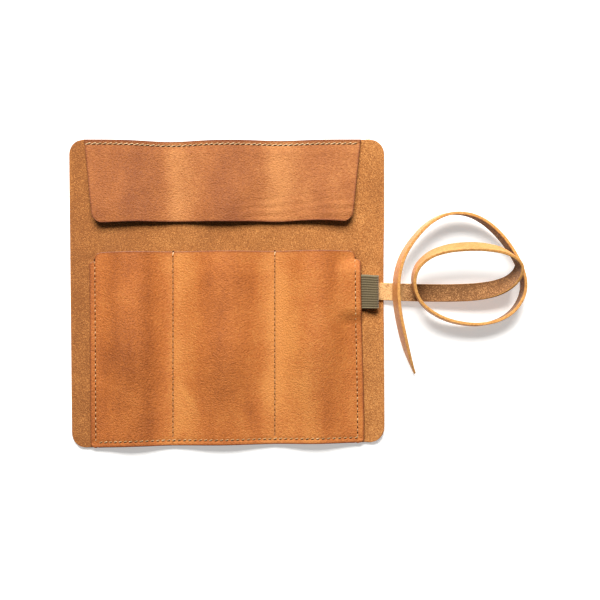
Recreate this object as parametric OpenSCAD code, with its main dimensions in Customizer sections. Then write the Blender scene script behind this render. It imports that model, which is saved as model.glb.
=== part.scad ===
// Leather pen roll, lying open: three stitched pockets, a flap over the pen tips,
// an elastic pen loop and a wrap strap. Inside faces up, +Y is the flap end,
// the strap leaves at +X. Origin: centre of the cover's footprint, on the table.

/* [Cover] */
// Width of the open cover
cover_w = 190; // [186:1:200]
// Height of the cover, from bottom seam edge to flap edge
cover_h = 184; // [180:1:196]
// Radius of the cover's four corners
corner_r = 9; // [6:0.5:14]
// Thickness of the cover leather
cover_t = 1.8; // [1.4:0.1:2]
// Height of the cover's soft wave between the fold lines
wave_h = 3; // [1:0.5:4]

/* [Pockets] */
// Thickness of the pocket and flap leather
panel_t = 1.4; // [1:0.1:1.5]
// Height of the pocket mouth above the cover's bottom edge
pocket_h = 116.4; // [110:0.2:120]
// How far an empty pocket stands off the cover at its middle
pocket_gap = 6; // [4:0.5:8]
// Place of the left fold and divider seam
fold_left = -32.2; // [-36:0.2:-28]
// Place of the right fold and divider seam
fold_right = 29; // [26:0.2:34]

/* [Flap] */
// Length of the flap below its hinge line
flap_len = 44.6; // [36:0.2:50]
// How far the closed flap's free edge lifts over the pens
flap_lift = 1.9; // [0:0.1:2]
// Radius of the flap's two free corners
flap_corner_r = 6; // [3:0.5:9]

/* [Stitching] */
// Distance from one stitch to the next
stitch_pitch = 3.2; // [2.8:0.1:5]
// Thickness of the thread
thread_d = 0.4; // [0.3:0.05:0.4]

/* [Pen loop and strap] */
// Width of the elastic webbing, along Y
loop_w = 20; // [16:1:24]
// How far the loop stands out from the pocket's edge
loop_reach = 9.6; // [8:0.2:11]
// Width of the wrap strap
strap_w = 10.5; // [8:0.5:11]
// Thickness of the wrap strap
strap_t = 1.8; // [1.4:0.1:1.8]

/* [Hidden] */

grain = [0.76, 0.43, 0.21];
flesh = [0.74, 0.50, 0.26];
thread = [0.80, 0.72, 0.55];
olive = [0.42, 0.39, 0.28];

half_w = cover_w / 2;
bottom_y = -cover_h / 2;
top_y = cover_h / 2;
layer_gap = 0.1;         // air between two stitched layers
cover_top = cover_t;
panel_z = cover_top + layer_gap;
seam_z = panel_z + panel_t;

seam_left = -79.4;       // side seams, and with them the outer pockets' sides
seam_right = 78.8;
pocket_left_x = -82.8;   // cut edges of the pocket panel
pocket_right_x = 82.2;
seam_inset = 3;          // from a cut edge to its seam
mouth_y = bottom_y + pocket_h;
notch_y = mouth_y - 6;   // below it the panel widens to its stitched edge
notch_r = 3;

hinge_y = 87.6;          // crease where the flap bends, just below its seam
hem_y = hinge_y + 0.3;
flap_top_y = hinge_y - 0.2;
flap_free_y = hinge_y - flap_len;
flap_z = cover_top + 0.4;
fold_gap = 0.05;         // half of the slit between two neighbouring sections
fold_side = 0.5;         // the slit lies beside the divider stitches
flap_trim = 2.9;         // room for the opened flap's corners when the roll is closed

stitch_len = 2.3;
stitch_w = 0.7;
stitch_slant = 12;

function clamp01(t) = min(1, max(0, t));
function smooth(t) = let (c = clamp01(t)) c * c * (3 - 2 * c);

// 0 at both ends of a pocket, 1 in its middle
function hump(x, from, to) = x <= from || x >= to ? 0 : (1 - cos(360 * (x - from) / (to - from))) / 2;
function wave(x) = hump(x, seam_left, fold_left) + hump(x, fold_left, fold_right)
    + hump(x, fold_right, seam_right);

// Undersides of the three leather layers
wave_end_y = hinge_y;    // the wave dies out before the flap's hinge, which is straight
function cover_z(x, y) = wave_h * wave(x) * clamp01((wave_end_y - y) / (wave_end_y - mouth_y));
pocket_ramp = 25;        // the pocket opens up over this length above the bottom seam
function pocket_open(y) = smooth((y - bottom_y - seam_inset) / pocket_ramp);
loop_y = 0.4;
tab_rise = 2.7;          // the right pocket's edge lies over the ends of the loop and the strap
function tab_bump(x, y) = tab_rise * smooth((x - 70) / 4)
    * smooth((loop_w / 2 + 5.5 - abs(y - loop_y)) / 5);
function pocket_z(x, y) = panel_z + cover_z(x, y) + pocket_gap * wave(x) * pocket_open(y)
    + tab_bump(x, y);
function hem_z(x, y) = panel_z + cover_z(x, y);
function flap_under(x, y) = flap_z + cover_z(x, y) + flap_lift * wave(x) * (flap_top_y - y) / flap_len;

// How far a rounded corner of radius r takes the side in, d from the end
function corner_in(d, r) = d >= r ? 0 : r - sqrt(r * r - pow(r - max(0, d), 2));
function cover_side(y) = half_w - corner_in(min(y - bottom_y, top_y - y), corner_r);
function notch_in(y) = y <= notch_y ? 0 : 3.4 + corner_in(mouth_y - y, notch_r);
function flap_taper(y) = 0.11 * (top_y - y);
function flap_left_x(y) = -85.6 + flap_taper(y) + corner_in(y - flap_free_y, flap_corner_r);
function flap_right_x(y) = 81 - flap_taper(y) - corner_in(y - flap_free_y, flap_corner_r);

// Rows of a panel: close together round its corners
corner_rows = [for (a = [0:22.5:90]) corner_r * (1 - cos(a))];
cover_rows = concat(
    [for (d = corner_rows) bottom_y + d],
    [for (k = [1:4]) bottom_y + corner_r + k * (mouth_y - bottom_y - corner_r) / 4],
    [for (k = [1:3]) mouth_y + k * (top_y - corner_r - mouth_y) / 4],
    [for (k = [4:-1:0]) top_y - corner_rows[k]]
);
notch_rows = [for (a = [90:-30:0]) mouth_y - notch_r * (1 - cos(a))];
pocket_foot_rows = concat(
    [bottom_y, bottom_y + seam_inset],
    [for (k = [1:5]) bottom_y + seam_inset + k * pocket_ramp / 5]
);
pocket_head_rows = concat([notch_y, notch_y + 0.4], notch_rows);
pocket_rows = concat(pocket_foot_rows, [-30, 0], pocket_head_rows);
tab_rows = [for (d = [0.3, 1.7, 3.2, 5.5]) loop_w / 2 + d];
pocket_right_rows = concat(
    pocket_foot_rows, [-30], [for (k = [3:-1:0]) loop_y - tab_rows[k]],
    [for (d = tab_rows) loop_y + d], pocket_head_rows
);
flap_rows = concat(
    [for (a = [0:30:90]) flap_free_y + flap_corner_r * (1 - cos(a))],
    [for (k = [1:4]) flap_free_y + flap_corner_r + k * (flap_len - flap_corner_r - 0.2) / 4]
);
hem_rows = [hem_y, top_y - 0.2];
columns = 14;

// A closed sheet of leather of thickness t: lo(y) to hi(y) wide, its underside at z(x, y)
module sheet(rows, lo, hi, z, t) {
    m = len(rows) - 1;
    n = columns;
    layer = (m + 1) * (n + 1);
    points = [
        for (s = [0, t]) for (y = rows) for (i = [0:n])
            let (x = lo(y) + (hi(y) - lo(y)) * i / n) [x, y, z(x, y) + s]
    ];
    function b(j, i) = j * (n + 1) + i;
    function u(j, i) = layer + b(j, i);
    faces = concat(
        [for (j = [0:m - 1]) for (i = [0:n - 1]) [u(j, i), u(j + 1, i), u(j + 1, i + 1)]],
        [for (j = [0:m - 1]) for (i = [0:n - 1]) [u(j, i), u(j + 1, i + 1), u(j, i + 1)]],
        [for (j = [0:m - 1]) for (i = [0:n - 1]) [b(j, i), b(j, i + 1), b(j + 1, i + 1)]],
        [for (j = [0:m - 1]) for (i = [0:n - 1]) [b(j, i), b(j + 1, i + 1), b(j + 1, i)]],
        [for (j = [0:m - 1]) [u(j + 1, 0), u(j, 0), b(j, 0), b(j + 1, 0)]],
        [for (j = [0:m - 1]) [u(j, n), u(j + 1, n), b(j + 1, n), b(j, n)]],
        [for (i = [0:n - 1]) [u(0, i), u(0, i + 1), b(0, i + 1), b(0, i)]],
        [for (i = [0:n - 1]) [u(m, i + 1), u(m, i), b(m, i), b(m, i + 1)]]
    );
    polyhedron(points, faces, convexity = 6);
}

// Slits between the sections: the left and middle sections end just short of the stitches
left_end = fold_left - fold_side - fold_gap;
middle_start = fold_left - fold_side + fold_gap;
middle_end = fold_right - fold_side - fold_gap;
right_start = fold_right - fold_side + fold_gap;

under_cover = function (x, y) cover_z(x, y);
module cover_left() {
    color(flesh) sheet(cover_rows, function (y) -cover_side(y), function (y) left_end, under_cover, cover_t);
}
module cover_middle() {
    color(flesh) sheet(cover_rows, function (y) middle_start, function (y) middle_end, under_cover, cover_t);
}
module cover_right() {
    color(flesh) sheet(cover_rows, function (y) right_start, function (y) cover_side(y), under_cover, cover_t);
}

under_pocket = function (x, y) pocket_z(x, y);
module pocket_left() {
    color(grain) sheet(pocket_rows, function (y) pocket_left_x + notch_in(y), function (y) left_end,
        under_pocket, panel_t);
}
module pocket_middle() {
    color(grain) sheet(pocket_rows, function (y) middle_start, function (y) middle_end,
        under_pocket, panel_t);
}
module pocket_right() {
    color(grain) sheet(pocket_right_rows, function (y) right_start,
        function (y) pocket_right_x - notch_in(y), under_pocket, panel_t);
}

// The stitched strip of the flap, which stays on the cover when the flap opens
under_hem = function (x, y) hem_z(x, y);
module flap_hem_left() {
    color(grain) sheet(hem_rows, function (y) flap_left_x(y), function (y) left_end, under_hem, panel_t);
}
module flap_hem_middle() {
    color(grain) sheet(hem_rows, function (y) middle_start, function (y) middle_end, under_hem, panel_t);
}
module flap_hem_right() {
    color(grain) sheet(hem_rows, function (y) right_start, function (y) flap_right_x(y), under_hem, panel_t);
}

// The free part of the flap, one third on each section
under_flap = function (x, y) flap_under(x, y);
module flap_left() {
    color(grain) sheet(flap_rows, function (y) flap_left_x(y), function (y) fold_left - flap_trim,
        under_flap, panel_t);
}
module flap_middle() {
    color(grain) sheet(flap_rows, function (y) fold_left + flap_trim, function (y) fold_right - flap_trim,
        under_flap, panel_t);
}
module flap_right() {
    color(grain) sheet(flap_rows, function (y) fold_right + flap_trim, function (y) flap_right_x(y),
        under_flap, panel_t);
}

// A stitch lies just above the leather; slope follows the surface
module stitch(at, turn, slope) {
    translate(at) rotate([0, 0, turn]) rotate([0, -slope, stitch_slant])
        translate([0, 0, thread_d / 2 + 0.08]) cube([stitch_len, stitch_w, thread_d], center = true);
}
module seam_along_y(x, from_y, to_y) {
    count = floor((to_y - from_y) / stitch_pitch);
    h = stitch_len / 2;
    color(thread) for (k = [0:count - 1]) let (
        y = from_y + (k + 0.5) * stitch_pitch,
        ends = [tab_bump(x, y - h), tab_bump(x, y + h)],
        lift = max(tab_bump(x, y), (ends[0] + ends[1]) / 2)
    ) stitch([x, y, seam_z + 0.1 + lift], 90, atan((ends[1] - ends[0]) / (2 * h)));
}
// The stitches of one line between x = lo and x = hi, numbered along the whole line from its start
module seam_along_x(line_from, line_to, lo, hi, y) {
    count = floor((line_to - line_from) / stitch_pitch);
    step = 0.5;
    color(thread) for (k = [0:count - 1])
        let (x = line_from + (k + 0.5) * stitch_pitch)
            if (x > lo && x <= hi)
                let (rise = cover_z(x + step, y) - cover_z(x - step, y))
                    stitch([x, y, seam_z + cover_z(x, y) + 0.03], 0, atan(rise / (2 * step)));
}

bottom_seam_y = bottom_y + seam_inset;
flap_seam_y = 89.4;
divider_from_y = bottom_seam_y + 1.6;
module side_seam_left() { seam_along_y(seam_left, bottom_seam_y, notch_y); }
module side_seam_right() { seam_along_y(seam_right, bottom_seam_y, notch_y); }
module divider_seam_left() { seam_along_y(fold_left + 0.2, divider_from_y, mouth_y); }
module divider_seam_right() { seam_along_y(fold_right + 0.2, divider_from_y, mouth_y); }
module bottom_seam(lo, hi) { seam_along_x(seam_left + 1.6, seam_right - 1.6, lo, hi, bottom_seam_y); }
module bottom_seam_left() { bottom_seam(-half_w, fold_left - 2.1); }
module bottom_seam_middle() { bottom_seam(fold_left + 1.2, fold_right - 2.1); }
module bottom_seam_right() { bottom_seam(fold_right + 1.2, half_w); }
module flap_seam(lo, hi) { seam_along_x(-84.4, 79.9, lo, hi, flap_seam_y); }
module flap_seam_left() { flap_seam(-half_w, fold_left - 2.1); }
module flap_seam_middle() { flap_seam(fold_left + 1.2, fold_right - 2.1); }
module flap_seam_right() { flap_seam(fold_right + 1.2, half_w); }

// Folded webbing: flat where it is sewn under the pocket's edge, round and open at its nose
loop_wall = 0.7;
tab_from_x = 75.4;
tab_to_x = pocket_right_x + 0.2;
loop_root_x = tab_to_x + 0.1;
loop_root_z = 3.85;
loop_rise = 1.4;
loop_nose_r = 1.85;
loop_root_h = 0.75;
function loop_half(u) = loop_root_h + (loop_nose_r - loop_root_h) * sin(90 * u);
function loop_outline(inset, from) = let (
        straight = loop_reach - loop_nose_r,
        us = [for (k = [0:6]) from + (1 - from) * k / 6]
    ) concat(
        [for (u = us) [straight * u, loop_rise * u - loop_half(u) + inset]],
        [for (a = [-67.5:22.5:67.5])
            [straight + (loop_nose_r - inset) * cos(a), loop_rise + (loop_nose_r - inset) * sin(a)]],
        [for (k = [6:-1:0]) [straight * us[k], loop_rise * us[k] + loop_half(us[k]) - inset]]
    );
module loop_tab() {
    color(olive) translate([tab_from_x, loop_y - loop_w / 2, loop_root_z - loop_wall])
        cube([tab_to_x - tab_from_x, loop_w, 2 * loop_wall]);
}
module pen_loop() {
    color(olive) translate([loop_root_x, loop_y + loop_w / 2, loop_root_z]) rotate([90, 0, 0])
        linear_extrude(loop_w) difference() {
            polygon(loop_outline(0, 0));
            polygon(loop_outline(loop_wall, 0.15));
        }
}

// The strap's centreline: x, y, z and lean, which is 0 where it lies flat with the rough side up
// and -90 where it stands on edge with the rough side to the inside of its bend
strap_route = [
    [76.4, 0.4, 2.45, 0], [86, 0.4, 2.36, 0], [94, 0.3, 2.65, 0], [101, 0, 3.2, 0], [110, -0.3, 4, 0],
    [124, -0.6, 5, -4], [138, -0.5, 6.2, -9], [150, 0.2, 7.4, -18], [160.6, 2.2, 8.8, -32],
    [168.4, 5.8, 10.6, -50], [172.8, 10.8, 13, -68], [173.4, 16, 15.4, -84], [169.8, 20.8, 17.2, -98],
    [162.4, 24.3, 18.4, -107], [152.2, 26.2, 19, -113], [141.1, 26.4, 19, -115], [130.4, 25.1, 18.2, -112],
    [120.9, 21.7, 17, -106], [114.3, 15.9, 15.4, -99], [111.6, 8.9, 13.6, -93], [112.3, 1.8, 12, -89],
    [115.5, -5.2, 10.6, -88], [121.6, -11.2, 9.2, -91], [130, -15.8, 7.8, -93], [140, -18.6, 6.6, -94],
    [151, -19.4, 5.8, -94], [162, -17.2, 5.5, -92], [171, -11.8, 5.5, -90], [176.6, -3.6, 5.5, -88],
    [178.2, 5, 5.5, -87], [176, 14.4, 5.7, -86], [170.6, 24.6, 6.2, -85], [163.2, 34, 7, -84],
    [154, 41.8, 8, -86], [143.6, 46.2, 9, -91], [132.1, 46.2, 9.8, -94], [121.4, 41.2, 10.4, -96],
    [112.3, 32.2, 10.7, -98], [105.4, 21.4, 10.7, -100], [102.1, 10, 10.4, -102], [101.6, -1, 9.9, -102],
    [102.7, -12, 9, -102], [105, -23, 7.6, -102], [107.9, -34, 5.8, -102], [111, -43, 3.8, -100],
    [113.4, -49, 1.9, -97]
];
strap_steps = 2;          // rings for each stretch of the route
strap_skive = 0.58;       // its sewn end is pared to this much of its thickness
strap_taper_from = 0.93;  // the last stretch narrows to the pulling tip
strap_tip = 0.2;
strap_edge = 0.35;

function curve(p0, p1, p2, p3, t) = 0.5 * (2 * p1 + (p2 - p0) * t
    + (2 * p0 - 5 * p1 + 4 * p2 - p3) * t * t + (3 * p1 - p0 - 3 * p2 + p3) * t * t * t);
function along(route, s) = let (
        last = len(route) - 1,
        i = min(last - 1, floor(s)),
        before = i == 0 ? 2 * route[0] - route[1] : route[i - 1],
        after = i == last - 1 ? 2 * route[last] - route[last - 1] : route[i + 2]
    ) curve(before, route[i], route[i + 1], after, s - i);
function xyz(p) = [p.x, p.y, p.z];
function unit(v) = v / norm(v);

module wrap_strap() {
    last = len(strap_route) - 1;
    rings = last * strap_steps;
    section = [
        [-1, -1 + strap_edge], [-1, 1 - strap_edge], [-1 + strap_edge / 4, 1], [1 - strap_edge / 4, 1],
        [1, 1 - strap_edge], [1, -1 + strap_edge], [1 - strap_edge / 4, -1], [-1 + strap_edge / 4, -1]
    ];
    sides = len(section);
    points = [
        for (k = [0:rings]) let (
            s = k / strap_steps,
            p = along(strap_route, s),
            ahead = along(strap_route, min(last, s + 0.05)),
            behind = along(strap_route, max(0, s - 0.05)),
            t = unit(xyz(ahead) - xyz(behind)),
            flat = unit([-t.y, t.x, 0]),
            rise = cross(t, flat),
            across = cos(p[3]) * flat + sin(p[3]) * rise,
            face = cross(t, across),
            narrow = 1 - (1 - strap_tip) * smooth((s / last - strap_taper_from) / (1 - strap_taper_from)),
            thick = strap_t * (strap_skive + (1 - strap_skive) * smooth((s - 1) / 2))
        ) for (q = section) xyz(p) + q.x * strap_w / 2 * narrow * across + q.y * thick / 2 * face
    ];
    faces = concat(
        [[for (i = [sides - 1:-1:0]) i]],
        [for (k = [0:rings - 1]) for (i = [0:sides - 1]) let (j = (i + 1) % sides)
            [k * sides + i, k * sides + j, (k + 1) * sides + j]],
        [for (k = [0:rings - 1]) for (i = [0:sides - 1]) let (j = (i + 1) % sides)
            [k * sides + i, (k + 1) * sides + j, (k + 1) * sides + i]],
        [[for (i = [0:sides - 1]) rings * sides + i]]
    );
    color(grain) polyhedron(points, faces, convexity = 10);
}

cover_left();
cover_middle();
cover_right();
pocket_left();
pocket_middle();
pocket_right();
flap_hem_left();
flap_hem_middle();
flap_hem_right();
flap_left();
flap_middle();
flap_right();
side_seam_left();
side_seam_right();
divider_seam_left();
divider_seam_right();
bottom_seam_left();
bottom_seam_middle();
bottom_seam_right();
flap_seam_left();
flap_seam_middle();
flap_seam_right();
loop_tab();
pen_loop();
wrap_strap();
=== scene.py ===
"""Leather pen roll lying open: cover, pocket panel, flap, stitching, elastic loop, wrap strap."""
import math

import bpy
from mathutils import Matrix, Vector, noise


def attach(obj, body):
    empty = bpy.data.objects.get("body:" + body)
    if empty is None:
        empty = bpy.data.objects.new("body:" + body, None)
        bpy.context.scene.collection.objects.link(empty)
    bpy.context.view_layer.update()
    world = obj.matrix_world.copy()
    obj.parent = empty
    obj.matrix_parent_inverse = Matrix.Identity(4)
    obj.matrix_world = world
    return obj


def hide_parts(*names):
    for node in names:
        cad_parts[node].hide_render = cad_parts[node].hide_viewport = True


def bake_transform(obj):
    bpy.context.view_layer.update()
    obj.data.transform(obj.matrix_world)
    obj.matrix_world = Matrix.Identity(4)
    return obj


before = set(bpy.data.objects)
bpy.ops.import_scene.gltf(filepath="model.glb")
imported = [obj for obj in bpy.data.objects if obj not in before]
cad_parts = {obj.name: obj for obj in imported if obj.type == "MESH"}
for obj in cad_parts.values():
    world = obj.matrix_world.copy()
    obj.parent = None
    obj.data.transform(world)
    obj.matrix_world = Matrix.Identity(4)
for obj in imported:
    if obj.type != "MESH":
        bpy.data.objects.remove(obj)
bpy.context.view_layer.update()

MM = 0.001

# ------------------------------------------------------------------ pattern, in millimetres
COVER_HALF = 95.0
BOTTOM, TOP = -92.0, 92.0
CORNER = 9.0
COVER_T, PANEL_T = 1.8, 1.4
EDGE_CELL = 0.9  # width of the cells beside a cut edge
EDGE_SHARE = 42  # percent of the outermost cells that a cut edge is rounded over
RIM_WIDTH = 1.2  # how far in from a cut edge the rim darkening reaches
WAVE = 3.0
FOLD_LEFT, FOLD_RIGHT = -32.2, 29.0
MIDLINE = (FOLD_LEFT + FOLD_RIGHT) / 2
SEAM_LEFT, SEAM_RIGHT = -79.4, 78.8
POCKET_LEFT, POCKET_RIGHT = -82.8, 82.2
MOUTH = 24.4
NOTCH_DEPTH, NOTCH_IN = 6.0, 3.4
POCKET_GAP = 6.0
HINGE = 87.6
FLAP_LENGTH = 44.6
FLAP_LEFT, FLAP_RIGHT = -85.6, 81.0
LAYER_GAP = 0.1
LOOP_MIDDLE, LOOP_WIDTH = 0.4, 20.0
TAB_RISE = 2.7
BOTTOM_SEAM = BOTTOM + 3.0
FLAP_SEAM = 88.9
PITCH = 3.2


def smooth(t):
    t = min(1.0, max(0.0, t))
    return t * t * (3 - 2 * t)


def bell(x, centre, reach):
    return math.exp(-((x - centre) / reach) ** 2)


def hump(x, start, end):
    if x <= start or x >= end:
        return 0.0
    return (1 - math.cos(2 * math.pi * (x - start) / (end - start))) / 2


def wave(x):
    """One swell over each of the three sections."""
    lines = (SEAM_LEFT, FOLD_LEFT, FOLD_RIGHT, SEAM_RIGHT)
    return sum(hump(x, start, end) for start, end in zip(lines, lines[1:]))


def ripple(x, y, size, seed):
    return noise.noise(Vector((x / size, y / size, seed)))


def corner_in(d, r):
    return 0.0 if d >= r else r - math.sqrt(r * r - (r - max(0.0, d)) ** 2)


def cover_under(x, y):
    rise = WAVE * wave(x) * min(1.0, max(0.0, (HINGE - y) / (HINGE - MOUTH)))
    edge = smooth((x - 84) / 11) * smooth((abs(y) - 9) / 14)
    return rise * (1 + 0.12 * ripple(x, y, 30, 3)) + 1.5 * edge


def tab_bump(x, y):
    """The pocket panel rises over the ends of the loop and the strap sewn in below it."""
    beside = abs(y - LOOP_MIDDLE) - LOOP_WIDTH / 2
    return TAB_RISE * smooth((x - 62) / 13) * smooth((10.5 - beside) / 10)


def right_seam(y):
    return SEAM_RIGHT - 0.7 * (MOUTH - y) / (MOUTH - BOTTOM)


def groove(x, y):
    """How far a seam pulls the pocket panel down beside its stitches."""
    sides = bell(x, SEAM_LEFT, 1.1) + bell(x, right_seam(y), 1.1)
    dividers = bell(x, FOLD_LEFT + 0.2, 1.3) + bell(x, FOLD_RIGHT + 0.2, 1.3)
    return 0.3 * min(1.0, sides + dividers + bell(y, BOTTOM_SEAM, 1.1))


def pocket_under(x, y):
    mouth_sag = 1 - 0.05 * smooth((y - 5) / 20)
    gap = POCKET_GAP * wave(x) * smooth((y - BOTTOM_SEAM) / 62) * mouth_sag
    gap *= 1 + 0.07 * ripple(x, y, 40, 11)
    return cover_under(min(x, 84.0), y) + COVER_T + LAYER_GAP + gap + tab_bump(x, y)


def pocket_top(x, y):
    return pocket_under(x, y) + PANEL_T


def hem_under(x, y):
    return cover_under(min(x, 84.0), y) + COVER_T + LAYER_GAP


def flap_under(x, y):
    down = HINGE + 0.3 - y
    bulge = 2.1 * hump(x, FOLD_LEFT + 4, FOLD_RIGHT - 3)
    sides = 2.6 * smooth((FOLD_LEFT + 8 - x) / 42) + 2.4 * smooth((x - FOLD_RIGHT) / 38)
    lift = (0.5 + bulge + sides) * smooth(down / FLAP_LENGTH)
    return hem_under(x, y) + 0.3 * smooth(down / 4) + lift


# ------------------------------------------------------------------ hand cut outline: its small drifts
def top_dip(x):
    return 1.5 * bell(x, -34, 20) + 0.9 * bell(x, 32, 18)


def drift(x, y):
    low = (TOP - y) / (TOP - BOTTOM)
    dx = 1.9 * min(1.0, max(0.0, (-x - 60) / 35)) * low
    right = smooth((x - 60) / 20) * (1 - 0.8 * smooth((x - 84) / 11))
    if y < MOUTH:
        dx += right * (-1.5 + 2.3 * smooth((MOUTH - y) / (MOUTH - BOTTOM)))
    else:
        dx -= right * 1.5 * (1 - smooth((y - MOUTH) / 18))
    dy = (0.15 + 1.45 * x / COVER_HALF - 0.6 * smooth((-x - 50) / 30)) * low
    dy -= top_dip(x) * smooth((y - 40) / 50)
    return x + dx, y + dy


def placed(x, y, z):
    x, y = drift(x, y)
    return Vector((x * MM, y * MM, z * MM))


# ------------------------------------------------------------------ modelling helpers
def deselect():
    if bpy.context.object and bpy.context.object.mode != "OBJECT":
        bpy.ops.object.mode_set(mode="OBJECT")
    bpy.ops.object.select_all(action="DESELECT")


def select_only(piece):
    deselect()
    piece.select_set(True)
    bpy.context.view_layer.objects.active = piece


def marks(*stops):
    """Positions from the first stop to the last: stop, step, stop, step, stop."""
    found = [stops[0]]
    for k in range(1, len(stops) - 1, 2):
        start, step, end = stops[k - 1], stops[k], stops[k + 1]
        count = max(1, round((end - start) / step))
        found += [start + (end - start) * n / count for n in range(1, count + 1)]
    return found


def apply_all(piece):
    select_only(piece)
    for modifier in list(piece.modifiers):
        bpy.ops.object.modifier_apply(modifier=modifier.name)


def paint(piece, name, value_at):
    """A value for each point of the piece, kept with the mesh."""
    values = []
    for vertex in piece.data.vertices:
        values.append(value_at(vertex.co.x / MM, vertex.co.y / MM))
    piece.data.attributes.new(name, "FLOAT", "POINT").data.foreach_set("value", values)


def keep_places(piece, name="hide_place"):
    """Each point's place on the flat hide, so that the grain stays put when the leather bends."""
    flat = [n for vertex in piece.data.vertices for n in vertex.co]
    piece.data.attributes.new(name, "FLOAT_VECTOR", "POINT").data.foreach_set("vector", flat)


def sheet(name, columns, rows, surface, thickness, joined_at=(), joined_row=None):
    """Leather laid out as a grid of columns and rows, shaped, thickened upwards, its edges rounded.
    joined_at lists the x, and joined_row is the y, where it meets its neighbour and stays square."""
    deselect()
    across, along = len(columns) - 1, len(rows) - 1
    bpy.ops.mesh.primitive_grid_add(x_subdivisions=across, y_subdivisions=along, size=2)
    piece = bpy.context.object
    piece.name = piece.data.name = name
    joints, rims = [], []
    for vertex in piece.data.vertices:
        i = round((vertex.co.x + 1) / 2 * across)
        j = round((vertex.co.y + 1) / 2 * along)
        vertex.co = surface(columns[i], rows[j])
        beside = any(abs(columns[i] - x) < 0.001 for x in joined_at)
        joints.append(1.0 * beside + 2.0 * (rows[j] == joined_row))
        inward = [abs(columns[i] - x) for x in (columns[0], columns[-1]) if x not in joined_at]
        inward += [abs(rows[j] - y) for y in (rows[0], rows[-1]) if y != joined_row]
        rims.append(max(0.0, 1 - min(inward) / RIM_WIDTH))
    piece.data.attributes.new("square_edge", "FLOAT", "POINT").data.foreach_set("value", joints)
    piece.data.attributes.new("rim", "FLOAT", "POINT").data.foreach_set("value", rims)
    solid = piece.modifiers.new("thickness", "SOLIDIFY")
    solid.thickness, solid.offset = thickness * MM, 1
    solid.use_even_offset = True
    apply_all(piece)
    square = [round(v.value) for v in piece.data.attributes["square_edge"].data]
    bpy.ops.object.mode_set(mode="EDIT")
    bpy.ops.mesh.select_all(action="DESELECT")
    bpy.ops.mesh.select_mode(type="EDGE")
    bpy.ops.mesh.edges_select_sharp(sharpness=math.radians(55))
    bpy.ops.object.mode_set(mode="OBJECT")
    for edge in piece.data.edges:
        if square[edge.vertices[0]] & square[edge.vertices[1]]:
            edge.select = False
    bpy.ops.object.mode_set(mode="EDIT")
    bpy.ops.mesh.bevel(offset_type="PERCENT", offset_pct=EDGE_SHARE, segments=2, affect="EDGES")
    bpy.ops.mesh.select_all(action="SELECT")
    bpy.ops.mesh.normals_make_consistent(inside=False)
    bpy.ops.object.mode_set(mode="OBJECT")
    piece.data.attributes.remove(piece.data.attributes["square_edge"])
    bpy.ops.object.shade_smooth_by_angle(angle=math.radians(50))
    return piece


def finish_faces(piece, upper, lower, rim, highlight_edge=None):
    """Upper side, lower side and cut edges each get their own finish.
    The pocket mouth's cut edge, where it faces the light, gets the finish raw: a painted highlight."""
    for finish in (upper, lower, rim, highlight_edge or rim):
        piece.data.materials.append(finish)
    rim_of = [v.value for v in piece.data.attributes["rim"].data]
    for face in piece.data.polygons:
        z = face.normal.z
        at_edge = min(rim_of[k] for k in face.vertices) > 0.6
        # Mouth edge faces turned towards the light get the painted highlight finish.
        at_mouth = face.normal.y > 0.75 and face.center.y > (MOUTH - NOTCH_DEPTH - 1.4) * MM
        if highlight_edge and at_edge and z > -0.5 and at_mouth:
            face.material_index = 3
        else:
            face.material_index = 0 if z > 0.6 else 1 if z < -0.6 else 2


# ------------------------------------------------------------------ finishes
def new_finish(name, roughness, specular=0.5):
    finish = bpy.data.materials.new(name)
    finish.use_nodes = True
    shader = finish.node_tree.nodes["Principled BSDF"]
    shader.inputs["Roughness"].default_value = roughness
    shader.inputs["Specular IOR Level"].default_value = specular
    return finish, finish.node_tree, shader


def node(tree, kind, **settings):
    made = tree.nodes.new(kind)
    for key, value in settings.items():
        if hasattr(made, key):
            setattr(made, key, value)
        else:
            made.inputs[key.replace("_", " ")].default_value = value
    return made


def hide_place(tree, name="hide_place"):
    return node(tree, "ShaderNodeAttribute", attribute_name=name).outputs["Vector"]


def grain_noise(tree, place, scale, detail=3.0, rough=0.55, stretch=None):
    if stretch:
        mapping = node(tree, "ShaderNodeMapping")
        mapping.inputs["Scale"].default_value = stretch
        tree.links.new(place, mapping.inputs["Vector"])
        place = mapping.outputs["Vector"]
    made = node(tree, "ShaderNodeTexNoise", Scale=scale, Detail=detail, Roughness=rough)
    tree.links.new(place, made.inputs["Vector"])
    return made.outputs["Fac"]


def maths(tree, operation, a, b=None, c=None, clamp=False):
    made = node(tree, "ShaderNodeMath", operation=operation, use_clamp=clamp)
    for socket, value in zip(made.inputs, (a, b, c)):
        if value is None:
            continue
        if isinstance(value, (int, float)):
            socket.default_value = value
        else:
            tree.links.new(value, socket)
    return made.outputs[0]


def ramp(tree, factor, *stops):
    made = node(tree, "ShaderNodeValToRGB")
    bar = made.color_ramp
    while len(bar.elements) < len(stops):
        bar.elements.new(0.5)
    for element, (position, colour) in zip(bar.elements, stops):
        element.position = position
        element.color = (*colour, 1)
    tree.links.new(factor, made.inputs["Fac"])
    return made.outputs["Color"]


def bump(tree, shader, layers):
    """Stacks (height, distance in mm, strength) layers of relief."""
    below = None
    for height, distance, strength in layers:
        made = node(tree, "ShaderNodeBump")
        made.inputs["Distance"].default_value = distance * MM
        made.inputs["Strength"].default_value = strength
        tree.links.new(height, made.inputs["Height"])
        if below:
            tree.links.new(below, made.inputs["Normal"])
        below = made.outputs["Normal"]
    tree.links.new(below, shader.inputs["Normal"])


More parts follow.
